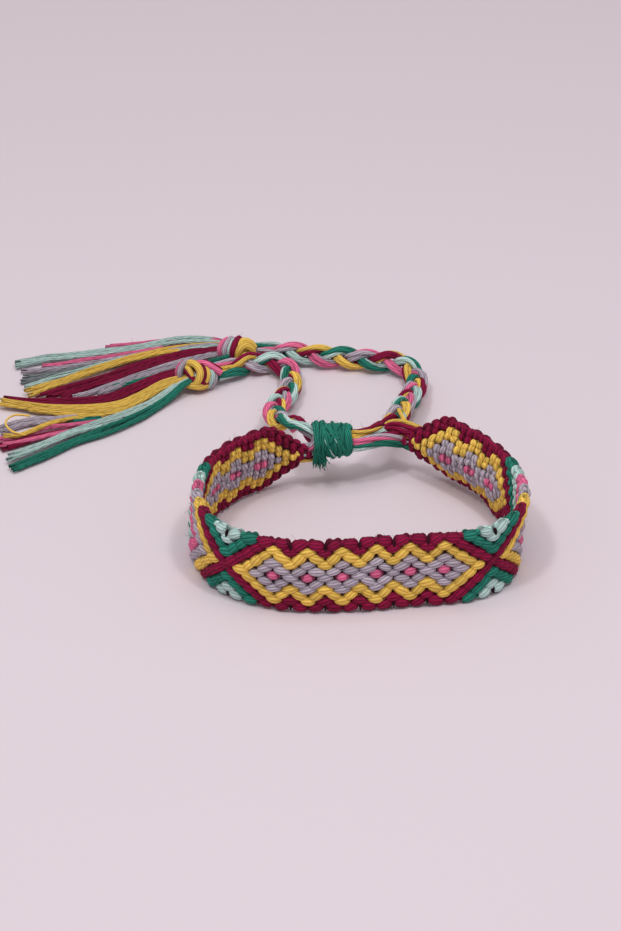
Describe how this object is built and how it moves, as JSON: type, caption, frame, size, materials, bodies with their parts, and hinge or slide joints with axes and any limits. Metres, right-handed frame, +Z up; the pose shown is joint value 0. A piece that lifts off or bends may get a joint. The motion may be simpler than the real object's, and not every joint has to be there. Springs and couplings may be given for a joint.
{
  "type": "friendship bracelet",
  "caption": "Knotted cotton friendship bracelet with a geometric band, two plaited ties through a wound sliding knot, and loose tassels.",
  "frame": {"origin": "middle of the bracelet's outline seen from above, on the surface that it stands on", "axes": "+Z up, across the band's width; +Y from the front of the band towards the ties; +X to the right as seen from the front"},
  "size_m": [0.0998, 0.0945, 0.015],
  "materials": {
    "woven_band": "matte",
    "tie_yellow": "matte",
    "tie_pink": "matte",
    "tie_mint": "matte",
    "slide_green": "matte"
  },
  "bodies": {
    "root": {"woven_band": "woven_band", "left_tie_strand_1": "tie_yellow", "left_tie_strand_2": "tie_pink", "left_tie_strand_3": "tie_mint", "right_tie_strand_1": "tie_yellow", "right_tie_strand_2": "tie_pink", "right_tie_strand_3": "tie_mint", "slide_knot": "slide_green", "far_tassel": "tie_mint", "near_tassel": "tie_yellow"}
  },
  "joints": []
}
